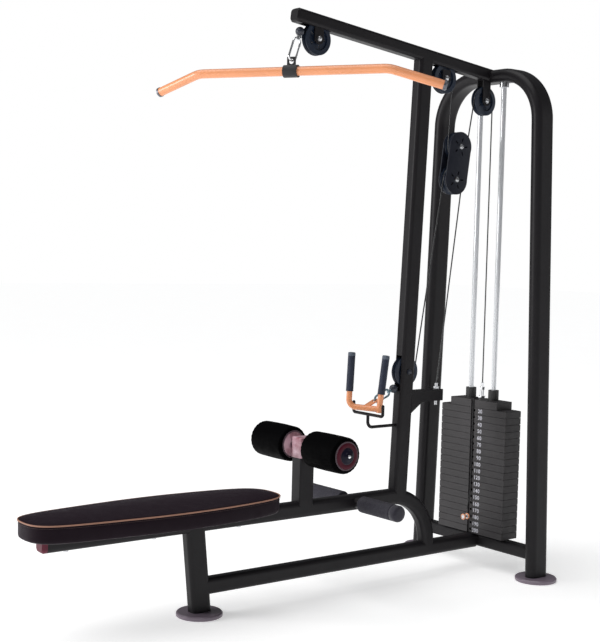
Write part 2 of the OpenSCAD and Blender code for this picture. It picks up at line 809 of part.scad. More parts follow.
module roller_post() {
  z0 = bench_z;
  color(frame_col) difference() {
    translate([0, axle_y, z0]) linear_extrude(axle_z + 30 - z0) tube_section(56, 62, 7);
    bar_y(tube_w, bench_h, 16, -1100, -800, bench_z);
    translate([-28 - e, axle_y - 40, z0 - 1]) cube([56 + 2 * e, 80, 13]);
    cyl_x(-60, 60, 14.1, axle_y, axle_z);
  }
  color(frame_col) translate([0, axle_y, axle_z + 30]) linear_extrude(4) rr(56, 62, 7);
}

module roller_axle() {
  color(chrome_col) {
    cyl_x(-roller_l - 66, roller_l + 66, 14, axle_y, axle_z);
  }
}

module thigh_rollers() {
  color([0.07, 0.07, 0.07]) for (s = [0, 1]) mirror([s, 0, 0])
    translate([58, axle_y, axle_z]) rotate([0, 90, 0]) rotate_extrude($fn = 96)
      polygon([[14.1, 3], [46, 3], [50, 0], [roller_d / 2 - 7, 0], [roller_d / 2 - 2, 3], [roller_d / 2, 9],
        [roller_d / 2, roller_l - 9], [roller_d / 2 - 2, roller_l - 3], [roller_d / 2 - 7, roller_l],
        [50, roller_l], [46, roller_l - 3], [14.1, roller_l - 3]]);
}

module roller_caps() {
  color([0.3, 0.12, 0.14]) for (s = [0, 1]) mirror([s, 0, 0]) {
    translate([58, axle_y, axle_z]) rotate([0, 90, 0]) rotate_extrude($fn = 96)
      polygon([[14.1, 3], [46, 3], [46, 1], [44, -1], [14.1, -3]]);
    translate([58 + roller_l, axle_y, axle_z]) rotate([0, 90, 0]) rotate_extrude($fn = 96)
      polygon([[14.1, -3], [46, -3], [46, -1], [44, 2], [18, 6], [14.1, 6]]);
    translate([roller_l + 66, axle_y, axle_z]) rotate([0, 90, 0]) rotate_extrude()
      polygon([[0, 0], [15, 0], [15, 2], [10, 6], [0, 7]]);
  }
}

module peg_bar() {
  color(frame_col) difference() {
    cyl_x(-262, 262, 13.9, peg_y, bench_z);
    cyl_x(-270, 270, 10.5, peg_y, bench_z);
  }
  color(frame_col) for (s = [0, 1]) mirror([s, 0, 0]) difference() {
    cyl_x(25, 56, 20, peg_y, bench_z);
    cyl_x(20, 60, 13.9, peg_y, bench_z);
  }
}

module peg_grips() {
  color([0.27, 0.27, 0.29]) for (s = [0, 1]) mirror([s, 0, 0])
    translate([56, peg_y, bench_z]) rotate([0, 90, 0]) rotate_extrude($fn = 96)
      polygon([[13.9, 0], [peg_d / 2 - 4, 0], [peg_d / 2, 4], [peg_d / 2, 168], [peg_d / 2 - 3, 170],
        [peg_d / 2 - 3, 176], [peg_d / 2, 178], [peg_d / 2, 200], [peg_d / 2 - 6, 206], [0, 207],
        [0, 206], [13.9, 206]]);
}

place() rear_arch();
place() cross_tube();
place() base_beam();
place() bench_leg();
place() bench_beam();
place() upright();
place() top_beam();
place() tube_end_caps();
place() feet();
place() anchor_arm();
place() pulley_hangers();
place() pulley_bolts();
place() guide_rods();
place() rod_collars();
place() stack_bumpers();
place() peg_bar();
place() peg_grips();
place() roller_post();
place() roller_axle();
place() thigh_rollers();
place() roller_caps();
place() seat_board();
place() seat_pad();
place() seat_bolts();
place() handle_rack();
place() anchor_bolt();
place() resting_plates();
place() lifted_plates();
place() head_plate();
place() selector_stem();
place() stack_bushings();
place() cable_fitting();
place() pin_lanyard();
place() selector_pin();
place() front_pulley();
place() rear_pulley();
place() stack_pulley();
place() row_pulley();
place() block_upper_pulley();
place() block_lower_pulley();
place() block_plates();
place() block_bolts();
place() lat_cable_main();
place() lat_cable_front();
place() stack_cable();
place() upper_block_cable();
place() lower_block_cable();
place() row_cable_front();
place() lat_ball();
place() lat_carabiner();
place() lat_gate();
place() lat_bar();
place() bar_collar();
place() bar_end_caps();
place() row_ball();
place() row_hook();
place() row_gate();
place() row_handle();
place() row_grips();
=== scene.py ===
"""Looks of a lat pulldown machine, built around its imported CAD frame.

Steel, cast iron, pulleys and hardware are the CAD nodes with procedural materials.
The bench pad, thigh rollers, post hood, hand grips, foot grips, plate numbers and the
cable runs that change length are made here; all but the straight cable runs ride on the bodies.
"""

import math

import bmesh
import bpy
from mathutils import Matrix, Vector, noise


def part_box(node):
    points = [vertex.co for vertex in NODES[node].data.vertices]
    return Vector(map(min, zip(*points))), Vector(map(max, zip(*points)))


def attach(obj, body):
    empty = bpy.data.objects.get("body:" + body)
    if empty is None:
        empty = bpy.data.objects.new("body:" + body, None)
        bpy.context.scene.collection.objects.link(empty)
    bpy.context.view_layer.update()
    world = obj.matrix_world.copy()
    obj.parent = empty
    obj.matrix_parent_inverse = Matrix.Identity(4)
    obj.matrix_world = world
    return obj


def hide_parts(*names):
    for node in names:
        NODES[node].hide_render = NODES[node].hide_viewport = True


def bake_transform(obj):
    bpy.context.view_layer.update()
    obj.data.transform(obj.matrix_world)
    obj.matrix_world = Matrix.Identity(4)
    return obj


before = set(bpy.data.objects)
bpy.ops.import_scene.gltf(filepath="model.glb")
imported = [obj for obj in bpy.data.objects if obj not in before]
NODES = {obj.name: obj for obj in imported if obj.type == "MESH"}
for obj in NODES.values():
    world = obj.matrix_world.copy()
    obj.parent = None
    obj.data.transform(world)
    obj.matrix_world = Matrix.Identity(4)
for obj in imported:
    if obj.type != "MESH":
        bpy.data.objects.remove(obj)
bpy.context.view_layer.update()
UP = Vector((0, 0, 1))


# ---- camera, light and floor ------------------------------------------------

def make_camera():
    """Camera of the photo, found by fitting the machine's straight edges and round feet."""
    cam = bpy.data.cameras.new("camera")
    cam.sensor_fit = "HORIZONTAL"
    cam.sensor_width = 36
    cam.lens = 75.64
    cam.shift_x = -0.0200
    cam.shift_y = 0.0127
    cam.clip_start, cam.clip_end = 0.1, 100
    obj = bpy.data.objects.new("camera", cam)
    right = Vector((0.61663, 0.78683, 0.02580))
    up = Vector((-0.06697, 0.01977, 0.99756))
    back = Vector((0.78440, -0.61685, 0.06488))
    turn = Matrix((right, up, back)).transposed().to_4x4()
    obj.matrix_world = Matrix.Translation((3.5381, -2.3263, 1.2616)) @ turn
    bpy.context.scene.collection.objects.link(obj)
    bpy.context.scene.camera = obj


def area_light(name, place, target, size, power):
    data = bpy.data.lights.new(name, "AREA")
    data.shape = "RECTANGLE"
    data.size, data.size_y = size
    data.energy = power
    obj = bpy.data.objects.new(name, data)
    aim = (Vector(target) - Vector(place)).to_track_quat("-Z", "Y")
    obj.matrix_world = Matrix.Translation(place) @ aim.to_matrix().to_4x4()
    bpy.context.scene.collection.objects.link(obj)


def soft_sun(name, direction, strength, spread):
    data = bpy.data.lights.new(name, "SUN")
    data.energy = strength
    data.angle = math.radians(spread)
    obj = bpy.data.objects.new(name, data)
    aim = Vector(direction).to_track_quat("-Z", "Y")
    obj.matrix_world = Matrix.Translation((0, 0, 5)) @ aim.to_matrix().to_4x4()
    bpy.context.scene.collection.objects.link(obj)


def make_studio():
    """White backdrop, dimmer light from it than the eye sees, and soft light from the front."""
    world = bpy.data.worlds.new("studio")
    world.use_nodes = True
    tree = world.node_tree
    seen = tree.nodes["Background"]
    seen.inputs["Color"].default_value = (1, 1, 1, 1)
    seen.inputs["Strength"].default_value = 1.0
    dim = tree.nodes.new("ShaderNodeBackground")
    dim.inputs["Color"].default_value = (0.96, 0.98, 1, 1)
    dim.inputs["Strength"].default_value = 0.12
    path = tree.nodes.new("ShaderNodeLightPath")
    mix = tree.nodes.new("ShaderNodeMixShader")
    tree.links.new(path.outputs["Is Camera Ray"], mix.inputs[0])
    tree.links.new(dim.outputs[0], mix.inputs[1])
    tree.links.new(seen.outputs[0], mix.inputs[2])
    tree.links.new(mix.outputs[0], tree.nodes["World Output"].inputs["Surface"])
    bpy.context.scene.world = world
    bpy.context.scene.view_settings.view_transform = "Standard"
    soft_sun("over", (0.10, 0.36, -1), 1.75, 60)
    area_light("key", (-2.6, -4.4, 2.4), (0, 0.9, 0.9), (2.2, 2.4), 140)
    area_light("rim", (3.4, 4.4, 2.4), (0, 1.2, 1.0), (1.0, 2.4), 8)
    floor = new_object("floor", [(-30, -30, 0), (30, -30, 0), (30, 30, 0), (-30, 30, 0)],
                       [(0, 1, 2, 3)])
    floor.location = (0, 0.4, -0.0006)
    skin = surface("floor_paint", (0.93, 0.93, 0.93), 0.8, grain=(60, 0.01), blotch=(1.2, 0.006),
                   specular=0.2)
    glow = skin.node_tree.nodes["Principled BSDF"].inputs
    glow["Emission Color"].default_value = (1, 1, 1, 1)
    glow["Emission Strength"].default_value = 0.42
    floor.data.materials.append(skin)


# ---- materials --------------------------------------------------------------

class Nodes:
    """A short way to lay out shader nodes."""

    def __init__(self, name):
        self.material = bpy.data.materials.new(name)
        self.material.use_nodes = True
        self.tree = self.material.node_tree
        self.shader = self.tree.nodes["Principled BSDF"]
        coord = self.add("ShaderNodeTexCoord")
        self.place = coord.outputs["Object"]

    def add(self, kind, **settings):
        node = self.tree.nodes.new(kind)
        for key, value in settings.items():
            setattr(node, key, value)
        return node

    def join(self, out, into):
        self.tree.links.new(out, into)

    def noise(self, scale, detail=3.0, rough=0.5, stretch=None):
        place = self.place
        if stretch:
            mapping = self.add("ShaderNodeMapping")
            mapping.inputs["Scale"].default_value = stretch
            self.join(place, mapping.inputs["Vector"])
            place = mapping.outputs["Vector"]
        node = self.add("ShaderNodeTexNoise")
        node.inputs["Scale"].default_value = scale
        node.inputs["Detail"].default_value = detail
        node.inputs["Roughness"].default_value = rough
        self.join(place, node.inputs["Vector"])
        return node.outputs["Fac"]

    def cells(self, scale, feature="DISTANCE_TO_EDGE"):
        node = self.add("ShaderNodeTexVoronoi", feature=feature)
        node.inputs["Scale"].default_value = scale
        self.join(self.place, node.inputs["Vector"])
        return node.outputs["Distance"]

    def spread(self, value, low, high, a, b):
        node = self.add("ShaderNodeMapRange")
        for key, number in zip(("From Min", "From Max", "To Min", "To Max"), (low, high, a, b)):
            node.inputs[key].default_value = number
        self.join(value, node.inputs["Value"])
        return node.outputs["Result"]

    def mix(self, fac, a, b):
        node = self.add("ShaderNodeMix", data_type="RGBA")
        self.join(fac, node.inputs["Factor"])
        for socket, value in ((node.inputs[6], a), (node.inputs[7], b)):
            if isinstance(value, tuple):
                socket.default_value = (*value, 1)
            else:
                self.join(value, socket)
        return node.outputs[2]

    def bump(self, height, strength, distance):
        node = self.add("ShaderNodeBump")
        node.inputs["Strength"].default_value = strength
        node.inputs["Distance"].default_value = distance
        self.join(height, node.inputs["Height"])
        before = self.shader.inputs["Normal"]
        if before.is_linked:
            self.join(before.links[0].from_socket, node.inputs["Normal"])
        self.join(node.outputs["Normal"], before)


def shade(colour, k):
    """The colour k times as bright."""
    return tuple(min(1.0, c * k) for c in colour)


def surface(name, colour, rough, metal=0.0, grain=(700, 0.12), blotch=(7, 0.10), coat=0.0,
            wear=None, stretch=None, specular=0.5):
    """Paint, plastic, metal or rubber: mottled colour, uneven gloss, fine relief and scuffs.

    grain and blotch are (scale, strength), and wear is (scale, strength, colour)."""
    n = Nodes(name)
    bsdf = n.shader.inputs
    bsdf["Metallic"].default_value = metal
    bsdf["Specular IOR Level"].default_value = specular
    bsdf["Coat Weight"].default_value = coat
    bsdf["Coat Roughness"].default_value = 0.12
    soft = n.noise(blotch[0], 4, 0.6)
    cloudy = n.spread(soft, 0.3, 0.7, 0, 1)
    base = n.mix(cloudy, shade(colour, 1 - blotch[1]), shade(colour, 1 + blotch[1]))
    fine = n.noise(grain[0], 2, 0.5, stretch)
    if wear:
        rub = n.spread(n.noise(wear[0], 8, 0.72, stretch), 0.62, 0.74, 0, wear[1])
        base = n.mix(rub, base, wear[2])
    n.join(base, bsdf["Base Color"])
    n.join(n.spread(n.noise(blotch[0] * 3.1, 5, 0.6, stretch), 0.3, 0.7,
                    rough * 0.88, min(1, rough * 1.14)), bsdf["Roughness"])
    n.bump(fine, grain[1], 0.0004)
    return n.material


def leather(name, colour, rough, pebble=420, sheen=0.05, specular=0.30):
    """Upholstery vinyl: pebbled relief, soft creases and a slight sheen."""
    n = Nodes(name)
    bsdf = n.shader.inputs
    bsdf["Specular IOR Level"].default_value = specular
    bsdf["Sheen Weight"].default_value = sheen
    bsdf["Sheen Roughness"].default_value = 0.4
    bsdf["Sheen Tint"].default_value = (0.8, 0.65, 0.8, 1)
    pebbles = n.cells(pebble)
    creases = n.noise(28, 6, 0.65)
    cloudy = n.spread(n.noise(9, 4, 0.6), 0.3, 0.7, 0, 1)
    base = n.mix(cloudy, shade(colour, 0.95), shade(colour, 1.05))
    # The grooves between the pebbles are darkened: painted shade in the recesses of the grain.
    pores = n.spread(pebbles, 0.0, 0.12, 0.75, 1.0)
    groove_shaded = n.mix(pores, shade(colour, 0.55), base)
    n.join(groove_shaded, bsdf["Base Color"])
    n.join(n.spread(creases, 0.3, 0.7, rough * 0.85, rough * 1.2), bsdf["Roughness"])
    n.bump(creases, 0.06, 0.002)
    n.bump(n.spread(pebbles, 0.0, 0.35, 0, 1), 0.35, 0.0003)
    return n.material


def cast_plate(name, colour):
    """Painted cast iron: hammered skin, worn to a paler grey on high spots."""
    n = Nodes(name)
    bsdf = n.shader.inputs
    bsdf["Specular IOR Level"].default_value = 0.4
    hammer = n.cells(260, "SMOOTH_F1")
    cloudy = n.spread(n.noise(5, 5, 0.6), 0.3, 0.7, 0, 1)
    base = n.mix(cloudy, shade(colour, 0.88), shade(colour, 1.12))
    rub = n.spread(n.noise(70, 9, 0.75, (1, 1, 5)), 0.63, 0.78, 0, 0.5)
    n.join(n.mix(rub, base, shade(colour, 2.1)), bsdf["Base Color"])
    n.join(n.spread(n.noise(40, 4, 0.6), 0.3, 0.7, 0.42, 0.6), bsdf["Roughness"])
    n.bump(hammer, 0.22, 0.0006)
    n.bump(n.noise(900, 2, 0.5), 0.12, 0.0003)
    return n.material


def foam_grip(name, colour):
    """Moulded rubber: matt skin with fine pores and a faint bloom."""
    n = Nodes(name)
    bsdf = n.shader.inputs
    bsdf["Specular IOR Level"].default_value = 0.35
    bsdf["Sheen Weight"].default_value = 0.2
    pores = n.cells(900)
    bloom = n.spread(n.noise(16, 6, 0.65), 0.35, 0.75, 0, 1)
    base = n.mix(bloom, shade(colour, 0.85), shade(colour, 1.3))
    n.join(base, bsdf["Base Color"])
    n.join(n.spread(n.noise(50, 4, 0.6), 0.3, 0.7, 0.55, 0.75), bsdf["Roughness"])
    n.bump(n.spread(pores, 0, 0.2, 0, 1), 0.25, 0.0003)
    return n.material


def twisted_cable(name, colour):
    """Coated wire rope: the strands show through the clear black coat as fine slanting ridges."""
    n = Nodes(name)
    bsdf = n.shader.inputs
    bsdf["Coat Weight"].default_value = 0.6
    bsdf["Coat Roughness"].default_value = 0.2
    wave = n.add("ShaderNodeTexWave", wave_type="BANDS", bands_direction="DIAGONAL")
    wave.inputs["Scale"].default_value = 160
    wave.inputs["Distortion"].default_value = 0.6
    n.join(n.place, wave.inputs["Vector"])
    n.join(n.mix(wave.outputs["Fac"], shade(colour, 0.6), shade(colour, 1.6)),
           bsdf["Base Color"])
    n.join(n.spread(n.noise(120, 3, 0.5), 0.3, 0.7, 0.25, 0.42), bsdf["Roughness"])
    n.bump(wave.outputs["Fac"], 0.4, 0.0004)
    return n.material


def tinted_cap(name, tint, other):
    """Glossy moulded cap whose colour drifts between two tints."""
    n = Nodes(name)
    bsdf = n.shader.inputs
    bsdf["Coat Weight"].default_value = 0.15
    bsdf["Coat Roughness"].default_value = 0.15
    bsdf["Specular IOR Level"].default_value = 0.25
    drift = n.spread(n.noise(24, 3, 0.5), 0.35, 0.65, 0, 1)
    n.join(n.mix(drift, tint, other), bsdf["Base Color"])
    n.join(n.spread(n.noise(90, 4, 0.6), 0.3, 0.7, 0.24, 0.34), bsdf["Roughness"])
    n.bump(n.noise(500, 2, 0.5), 0.06, 0.0003)
    return n.material


def make_materials():
    paint = (0.0125, 0.0112, 0.0130)
    steel = (0.62, 0.63, 0.65)
    return {
        "powder_black": surface("powder_black", paint, 0.40, grain=(1100, 0.16),
                                blotch=(5, 0.12), specular=0.22,
                                wear=(26, 0.25, (0.045, 0.043, 0.045))),
        # Feet: pale purple-grey, partly their own paint and partly a painted reflection of the
        # bright surroundings on their tops.
        "foot_paint_and_painted_reflection": surface("foot_paint_and_painted_reflection", (0.200, 0.158, 0.200), 0.38, grain=(900, 0.14),
                              coat=0.25, wear=(40, 0.5, (0.16, 0.16, 0.17))),
        "chrome": surface("chrome", (0.86, 0.87, 0.89), 0.10, metal=1.0,
                          grain=(350, 0.03), blotch=(30, 0.03), stretch=(1, 1, 8)),
        # Guide rods: part chrome, part a pale diffuse colour lit by the lamps, a painted
        # reflection that makes them read bright white.
        "rod_chrome_and_painted_reflection": surface("rod_chrome_and_painted_reflection", (0.84, 0.86, 0.89), 0.16, metal=0.35,
                              grain=(350, 0.02), blotch=(30, 0.02), coat=0.6),
        "bright_steel": surface("bright_steel", steel, 0.24, metal=1.0, grain=(500, 0.08),
                                blotch=(50, 0.08)),
        "hook_steel": surface("hook_steel", (0.20, 0.29, 0.34), 0.26, metal=0.7,
                              grain=(600, 0.08), coat=0.3),
        "orange": surface("orange", (0.90, 0.36, 0.165), 0.34, grain=(900, 0.10),
                          blotch=(9, 0.05), coat=0.35, wear=(60, 0.25, (0.80, 0.42, 0.25))),
        "rubber": foam_grip("rubber", (0.018, 0.018, 0.020)),
        "grip": foam_grip("grip", (0.020, 0.026, 0.050)),
        "grip_top": foam_grip("grip_top", (0.095, 0.115, 0.15)),
        "peg": foam_grip("peg", (0.022, 0.020, 0.032)),
        "plate": cast_plate("plate", (0.038, 0.035, 0.037)),
        "bushing": cast_plate("bushing", (0.040, 0.040, 0.041)),
        "pulley": surface("pulley", (0.011, 0.019, 0.038), 0.38, grain=(500, 0.14),
                          blotch=(40, 0.2), coat=0.1, specular=0.35,
                          wear=(90, 0.4, (0.08, 0.09, 0.12))),
        "block": surface("block", (0.011, 0.013, 0.022), 0.40, grain=(800, 0.14), specular=0.35,
                         wear=(40, 0.4, (0.07, 0.07, 0.09))),
        "ball": surface("ball", (0.022, 0.027, 0.042), 0.36, grain=(400, 0.08), coat=0.15),
        "board": surface("board", (0.030, 0.020, 0.016), 0.72, grain=(160, 0.4),
                         blotch=(18, 0.35), stretch=(1, 0.08, 1)),
        "vinyl": leather("vinyl", (0.0100, 0.0042, 0.0085), 0.50, specular=0.10),
        "roller_vinyl": leather("roller_vinyl", (0.0008, 0.0007, 0.0010), 0.55, 520,
                                sheen=0.0, specular=0.02),
        "piping": leather("piping", (0.40, 0.21, 0.145), 0.45, 900),
        "thread": surface("thread", (0.10, 0.065, 0.06), 0.7, grain=(2500, 0.5)),
        "roller_rim": foam_grip("roller_rim", (0.085, 0.052, 0.068)),
        "cap_ring": surface("cap_ring", (0.068, 0.007, 0.017), 0.35, grain=(700, 0.1),
                            specular=0.12),
        "cap_hub": surface("cap_hub", (0.007, 0.006, 0.017), 0.30, grain=(700, 0.1),
                           specular=0.15),
        "wine_cap": surface("wine_cap", (0.135, 0.016, 0.036), 0.36, grain=(700, 0.1),
                            specular=0.25),
        "roller_cap": tinted_cap("roller_cap", (0.070, 0.006, 0.014), (0.010, 0.008, 0.018)),
        "pale_cap": tinted_cap("pale_cap", (0.72, 0.50, 0.57), (0.34, 0.14, 0.17)),
        "cable": twisted_cable("cable", (0.014, 0.014, 0.016)),
        "cord": surface("cord", (0.010, 0.010, 0.011), 0.5, grain=(900, 0.3)),
        "white_ink": surface("white_ink", (0.62, 0.62, 0.68), 0.55, grain=(1500, 0.2),
                             blotch=(120, 0.06)),
        "grey_cap": surface("grey_cap", (0.13, 0.14, 0.165), 0.30, metal=0.5,
                            grain=(600, 0.08), coat=0.3),
    }


LOOKS = {
    "powder_black": ("rear_arch cross_tube base_beam bench_leg bench_beam upright top_beam "
                     "anchor_arm pulley_hangers peg_bar roller_post handle_rack"),
    "wine_cap": "tube_end_caps",
    "foot_paint_and_painted_reflection": "feet",
    "rod_chrome_and_painted_reflection": "guide_rods",
    "chrome": "selector_stem lat_carabiner lat_gate roller_axle cable_fitting",
    "bright_steel": "pulley_bolts rod_collars block_bolts seat_bolts anchor_bolt selector_pin",
    "hook_steel": "row_hook row_gate",
    "rubber": "stack_bumpers bar_collar",
    "board": "seat_board",
    "plate": "resting_plates lifted_plates head_plate",
    "bushing": "stack_bushings",
    "cord": "pin_lanyard",
    "pulley": ("front_pulley rear_pulley stack_pulley row_pulley block_upper_pulley "
               "block_lower_pulley"),
    "block": "block_plates",
    "cable": ("lat_cable_main lat_cable_front stack_cable upper_block_cable "
              "lower_block_cable row_cable_front"),
    "ball": "lat_ball row_ball",
    "orange": "lat_bar row_handle",
    "grey_cap": "bar_end_caps",
    "roller_cap": "roller_caps",
    "peg": "peg_grips",
    "grip": "row_grips",
    "vinyl": "seat_pad",
    "roller_vinyl": "thigh_rollers",
}


def dress_frame():
    for look, names in LOOKS.items():
        for name in names.split():
            mesh = NODES[name].data
            mesh.materials.clear()
            mesh.materials.append(MAT[look])
    repaint("tube_end_caps", "powder_black", lambda p: p.z > 1)
    pin = middle("selector_pin")
    repaint("selector_pin", "orange", lambda p: math.hypot(p.x, p.z - pin.z) > 0.0087)
    repaint("pulley_bolts", "ball", lambda p: p.z < 1)


def repaint(name, look, chosen):
    """A second material on the faces of a CAD node whose middle passes the test."""
    mesh = NODES[name].data
    mesh.materials.append(MAT[look])
    slot = len(mesh.materials) - 1
    for face in mesh.polygons:
        if chosen(face.center):
            face.material_index = slot


# ---- mesh helpers -----------------------------------------------------------

def new_object(name, points, faces, smooth=False):
    mesh = bpy.data.meshes.new(name)
    mesh.from_pydata([tuple(p) for p in points], [], faces)
    mesh.validate()
    obj = bpy.data.objects.new(name, mesh)
    bpy.context.scene.collection.objects.link(obj)
    bm = bmesh.new()
    bm.from_mesh(mesh)
    bmesh.ops.recalc_face_normals(bm, faces=bm.faces)
    bm.to_mesh(mesh)
    bm.free()
    if smooth:
        mesh.shade_smooth()
    return obj


def rings_to_mesh(name, rings, look, closed=False):
    """Skin over rings of points, each ring having the same count."""
    count = len(rings[0])
    points = [p for ring in rings for p in ring]
    faces = []
    last = len(rings) if closed else len(rings) - 1
    for i in range(last):
        a, b = i * count, (i + 1) % len(rings) * count
        for j in range(count):
            k = (j + 1) % count
            faces.append((a + j, a + k, b + k, b + j))
    if not closed:
        faces.append(tuple(range(count)))
        faces.append(tuple(range((len(rings) - 1) * count, len(rings) * count)))
    obj = new_object(name, points, faces, smooth=True)
    obj.data.materials.append(MAT[look])
    return obj


def tube(name, path, radius, look, sides=14, closed=False):
    """Round tube along points."""
    rings = []
    count = len(path)
    side = None
    for i, point in enumerate(path):
        before = path[(i - 1) % count] if closed or i else path[0]
        after = path[(i + 1) % count] if closed or i < count - 1 else path[-1]
        along = (after - before).normalized()
        if side is None:
            side = along.orthogonal().normalized()
        side = (side - along * side.dot(along)).normalized()
        other = along.cross(side)
        rings.append([point + (side * math.cos(a) + other * math.sin(a)) * radius
                      for a in (2 * math.pi * k / sides for k in range(sides))])
    return rings_to_mesh(name, rings, look, closed)


def lathe(name, start, end, profile, look, sides, ripple=None, closed=False):
    """Turned shape round the line from start to end; profile is (along, radius) in metres."""
    axis = (end - start).normalized()
    u = axis.orthogonal().normalized()
    v = axis.cross(u)
    rings = []
    for i, (along, radius) in enumerate(profile):
        ring = []
        for k in range(sides):
            a = 2 * math.pi * k / sides
            r = radius + (ripple(i, a) if ripple else 0)
            ring.append(start + axis * along + (u * math.cos(a) + v * math.sin(a)) * r)
        rings.append(ring)
    return rings_to_mesh(name, rings, look, closed)


def middle(node):
    """Middle of a CAD node's box."""
    lo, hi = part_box(node)
    return (Vector(lo) + Vector(hi)) / 2


# ---- bench pad --------------------------------------------------------------

def pad_shape(t):
    """Half width along the pad, from its free end at 0 to the end by the rollers at 1."""
    ends = max(0.0, 1 - abs(2 * t - 1) ** 10) ** 0.38
    return ends * (0.72 + 0.28 * math.sin(math.pi * t ** 1.15) ** 1.2)


def pad_ring(lo, hi, inset, z, steps=80):
    """Outline of the pad, drawn in by inset, at height z."""
    full = (hi.x - lo.x) / 2
    peak = max(pad_shape(i / 200) for i in range(201))
    long = hi.y - lo.y - 2 * inset
    right, left = [], []
    for i in range(steps + 1):
        t = (1 - math.cos(math.pi * i / steps)) / 2
        x = full * pad_shape(t) / peak * (1 - inset / full)
        y = lo.y + inset + t * long
        right.append(Vector((x, y, z)))
        left.append(Vector((-x, y, z)))
    return right + left[-2:0:-1]


def inflate(obj, voxel, cap, pinned, pressure):
    """Cloth simulation under pressure; each point moves at most cap(point) metres."""
    mod = obj.modifiers.new("remesh", "REMESH")
    mod.mode, mod.voxel_size, mod.use_smooth_shade = "VOXEL", voxel, True
    bake_modifiers(obj)
    rest = [v.co.copy() for v in obj.data.vertices]
    group = obj.vertex_groups.new(name="pinned")
    group.add([i for i, p in enumerate(rest) if pinned(p)], 1.0, "REPLACE")
    cloth = obj.modifiers.new("cloth", "CLOTH")
    cloth.settings.use_pressure = True
    cloth.settings.uniform_pressure_force = pressure
    cloth.settings.vertex_group_mass = "pinned"
    cloth.settings.quality = 5
    cloth.settings.effector_weights.gravity = 0
    cloth.settings.tension_stiffness = 30
    cloth.settings.bending_stiffness = 4
    cloth.point_cache.frame_start, cloth.point_cache.frame_end = 1, 20
    for step in range(1, 21):
        bpy.context.scene.frame_set(step)
    graph = bpy.context.evaluated_depsgraph_get()
    swollen = [v.co.copy() for v in obj.evaluated_get(graph).data.vertices]
    obj.modifiers.remove(cloth)
    bpy.context.scene.frame_set(1)
    for v, before, after in zip(obj.data.vertices, rest, swollen):
        move = after - before
        limit = cap(before)
        if move.length > limit:
            move *= limit / move.length
        v.co = before + move
    obj.vertex_groups.clear()


def bake_modifiers(obj):
    graph = bpy.context.evaluated_depsgraph_get()
    made = bpy.data.meshes.new_from_object(obj.evaluated_get(graph))
    old = obj.data
    obj.modifiers.clear()
    obj.data = made
    bpy.data.meshes.remove(old)


def refine(obj):
    """One level of subdivision, kept in the mesh."""
    mod = obj.modifiers.new("subdivide", "SUBSURF")
    mod.levels = mod.render_levels = 1
    bake_modifiers(obj)
    obj.data.shade_smooth()


def make_pad():
    """Vinyl cover blown up over its foam, pinned where the piping and the board hold it."""
    lo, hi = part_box("seat_pad")
    lo, hi = Vector(lo), Vector(hi)
    under, seam = lo.z + 0.001, hi.z - 0.007
    half = (hi.x - lo.x) / 2
    shrink = 0.003  # left for the cover to swell into
    profile = [(half * 0.8, under), (0.010, under), (0.003, under + 0.003), (0.0, under + 0.010),
               (0.0, seam - 0.006), (0.001, seam), (0.006, hi.z - 0.003),
               (0.022, hi.z), (0.060, hi.z + 0.001), (half * 0.8, hi.z + 0.001)]
    rings = [pad_ring(lo, hi, inset + shrink, z) for inset, z in profile]
    pad = rings_to_mesh("bench_pad", rings, "vinyl")
    outline = pad_ring(lo, hi, shrink, seam)

    def near_seam(p):
        return abs(p.z - seam) < 0.004 and min((p - q).length for q in outline) < 0.009

    def held(p):
        return p.z < under + 0.004 or near_seam(p)

    def cap(p):
        return 0.008 if p.z > seam else 0.0045

    inflate(pad, voxel=0.0055, cap=cap, pinned=held, pressure=4.0)
    for v in pad.data.vertices:
        p = v.co
        if p.z > under + 0.008 and p.z < hi.z - 0.002:
            drop = math.exp(-((p.z - seam) / 0.010) ** 2)
            pucker = noise.noise(Vector((p.x * 55, p.y * 55, 0.4)))
            side = Vector((p.x, 0, 0)).normalized()
            v.co = p + side * (0.0011 * drop * pucker)
    refine(pad)
    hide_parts("seat_pad")
    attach(pad, "frame")
    cord = tube("pad_piping", pad_ring(lo, hi, 0.0022, seam, 120), 0.0025, "piping", 10,
                closed=True)
    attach(cord, "frame")
    welt = tube("pad_welt", pad_ring(lo, hi, 0.0028, seam - 0.0034, 120), 0.0014, "vinyl", 8,
                closed=True)
    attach(welt, "frame")
    make_stitches(lo, hi, seam - 0.007)


def make_stitches(lo, hi, z):
    """One row of stitches in the side of the cover, under the piping."""
    ring = pad_ring(lo, hi, -0.0008, z, 150)
    half_long, thick, high, spacing = 0.0022, 0.0006, 0.0005, 0.0075
    points, faces = [], []
    travelled, nearest = 0.0, 0.0
    for a, b in zip(ring, ring[1:] + ring[:1]):
        step = (b - a).length
        while nearest <= travelled + step:
            along = (b - a).normalized()
            mid = a + along * (nearest - travelled)
            out = along.cross(UP).normalized()
            first = len(points)
            for s, wide, proud in ((-1, 0.2, -0.5), (-0.5, 1, 0.6), (0.5, 1, 0.6), (1, 0.2, -0.5)):
                base = mid + along * (s * half_long) + out * (thick * proud)
                points += [base + UP * (thick * wide), base + out * (high * wide),
                           base - UP * (thick * wide), base - out * (high * wide)]
            for r in range(3):
                o = first + r * 4
                faces += [(o + k, o + (k + 1) % 4, o + 4 + (k + 1) % 4, o + 4 + k)
                          for k in range(4)]
            faces += [tuple(range(first, first + 4)), tuple(range(first + 12, first + 16))]
            nearest += spacing
        travelled += step
    row = new_object("pad_stitches", points, faces, smooth=True)
    row.data.materials.append(MAT["thread"])
    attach(row, "frame")


# ---- rollers, foot grips and hand grips -------------------------------------

HEM = 0.0475  # radius of the sleeve's gathered hem, where the rim clamps it
RIB_PITCH = 0.0031  # of the ribs round the foot grips and hand grips


